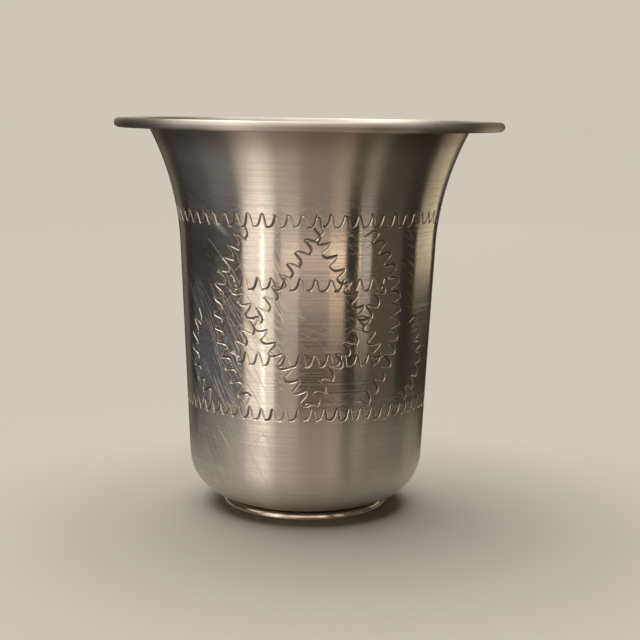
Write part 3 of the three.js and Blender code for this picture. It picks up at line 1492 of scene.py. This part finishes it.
@dataclass(frozen=True)
class Viewpoint:
    """The camera's place, in millimetres and degrees, fitted to the cup's outline in the photograph."""

    distance: float = 280.5
    height: float = 78.82
    pitch: float = 8.576
    yaw: float = 0.52
    roll: float = 0.817
    focal_pixels: float = 1424.5
    sensor: float = 36.0
    nearest: float = 10.0

    def build(self) -> bpy.types.Object:
        """Set up the camera.

        Returns:
            The camera, made the scene's own.
        """
        lens = bpy.data.cameras.new("camera")
        lens.sensor_width = self.sensor
        lens.lens = self.sensor * self.focal_pixels / PHOTO_SIDE
        lens.clip_start = self.nearest * MM
        camera = bpy.data.objects.new("camera", lens)
        stand = Matrix.Translation(Vector((0.0, -self.distance, self.height)) * MM)
        turn = Matrix.Rotation(-math.radians(self.yaw), 4, "Z")
        tip = Matrix.Rotation(math.radians(90 - self.pitch), 4, "X")
        roll = Matrix.Rotation(math.radians(self.roll), 4, "Z")
        camera.matrix_world = stand @ turn @ tip @ roll
        bpy.context.scene.collection.objects.link(camera)
        bpy.context.scene.camera = camera
        return camera


@dataclass(frozen=True)
class Panel:
    """A soft studio light panel standing round the cup, in millimetres and degrees."""

    name: str
    bearing: float
    distance: float
    low: float
    high: float
    width: float
    glow: float
    colour: str

    def build(self) -> None:
        """Stand the panel upright, facing the cup; bearing 0 is the camera's side and 90 the right."""
        light = bpy.data.lights.new(self.name, "AREA")
        light.shape = "RECTANGLE"
        light.size = self.width * MM
        light.size_y = (self.high - self.low) * MM
        # The power that makes a panel of this size glow evenly by so much
        light.energy = self.glow * math.pi * light.size * light.size_y
        light.color = linear(self.colour)[:3]
        angle = math.radians(self.bearing)
        level = (self.low + self.high) / 2
        stand = Vector((self.distance * math.sin(angle), -self.distance * math.cos(angle), level)) * MM
        lamp = bpy.data.objects.new(self.name, light)
        lamp.rotation_mode = "QUATERNION"
        lamp.rotation_quaternion = Vector((-stand.x, -stand.y, 0.0)).to_track_quat("-Z", "Y")
        lamp.location = stand
        lamp.visible_camera = False
        lamp.visible_diffuse = False
        bpy.context.scene.collection.objects.link(lamp)


@dataclass(frozen=True)
class TopLight:
    """The even light from above that lifts the floor, in degrees."""

    power: float = 3.4
    spread: float = 70.0
    tilt: float = 14.0
    bearing: float = 205.0
    colour: str = "fff9f0"

    def build(self) -> None:
        """Hang the light, leaning away from the bearing."""
        light = bpy.data.lights.new("top", "SUN")
        light.energy = self.power
        light.angle = math.radians(self.spread)
        light.color = linear(self.colour)[:3]
        lamp = bpy.data.objects.new("top", light)
        lamp.rotation_euler = (math.radians(self.tilt), 0.0, math.radians(self.bearing))
        bpy.context.scene.collection.objects.link(lamp)


@dataclass(frozen=True)
class Studio:
    """The light: dim surroundings that the silver mirrors, soft panels round the cup and a light above."""

    surroundings: str = "a3978a"
    surroundings_glow: float = 0.1
    top: TopLight = TopLight()
    # Each panel's name, bearing, distance, low edge, high edge, width, glow and colour
    panels: tuple[Panel, ...] = (
        Panel("slit", -40, 650, -150, 500, 22, 3.0, "fff4e4"),
        Panel("key", -44, 660, -800, 900, 330, 0.8, "ffeddb"),
        Panel("key_soft", -34, 720, -800, 900, 700, 0.3, "ffeddb"),
        Panel("warm_front", 4, 125, 21, 95, 120, 0.82, "ffe0cc"),
        Panel("warm_edge", 24, 128, 17, 95, 30, 0.45, "ffdcb4"),
        Panel("thin_right", 48, 127, 12, 120, 18, 0.55, "ffeee2"),
        Panel("thin_gold", 42, 124, 14, 120, 4, 1.2, "ffeac4"),
        Panel("dim_right", 74, 720, -300, 700, 420, 0.06, "ffe0c4"),
        Panel("gold_right", 120, 132, 30, 84, 80, 0.75, "ffecc6"),
        Panel("cool_left", -90, 210, -170, 0, 280, 0.12, "e6ebff"),
        Panel("high_left", -75, 520, 450, 950, 560, 2.0, "fff6ec"),
        Panel("high_right", 85, 520, 330, 800, 420, 0.5, "ffeee4"),
        Panel("high_back_left", -160, 700, 160, 440, 320, 0.5, "fff2e6"),
        Panel("low_left", -74, 300, 75, 300, 110, 1.0, "fff4e6"),
        Panel("back_left", -150, 600, -500, 600, 200, 0.12, "fff0dc"),
        Panel("back", 176, 700, -700, 700, 260, 0.7, "fff4e8"),
    )

    def build(self) -> None:
        """Set the surroundings, hang the top light and stand the panels."""
        world = bpy.data.worlds.new("dim_studio")
        world.use_nodes = True
        sky = world.node_tree.nodes["Background"]
        sky.inputs["Color"].default_value = linear(self.surroundings)
        sky.inputs["Strength"].default_value = self.surroundings_glow
        bpy.context.scene.world = world
        self.top.build()
        for panel in self.panels:
            panel.build()


def main() -> None:
    """Build the cup, its stage and its camera in order."""
    logging.basicConfig(level=logging.INFO, format="%(name)s: %(message)s")
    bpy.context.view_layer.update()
    cup_low, cup_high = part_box("cup_body")
    ring_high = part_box("foot_ring")[1]
    section = CupSection(cup_high.z / MM, cup_high.x / MM, cup_low.z / MM)
    pieces = [
        CupBody(section, Engraving(section)).build(),
        FootRing(ring_high.x / MM, ring_high.z / MM).build(),
    ]
    for piece in pieces:
        log.info("%s: %d faces", piece.name, len(piece.data.polygons))
    Floor().build()
    Studio().build()
    Viewpoint().build()
    bpy.context.scene.view_settings.view_transform = "Standard"


if __name__ == "__main__":
    main()
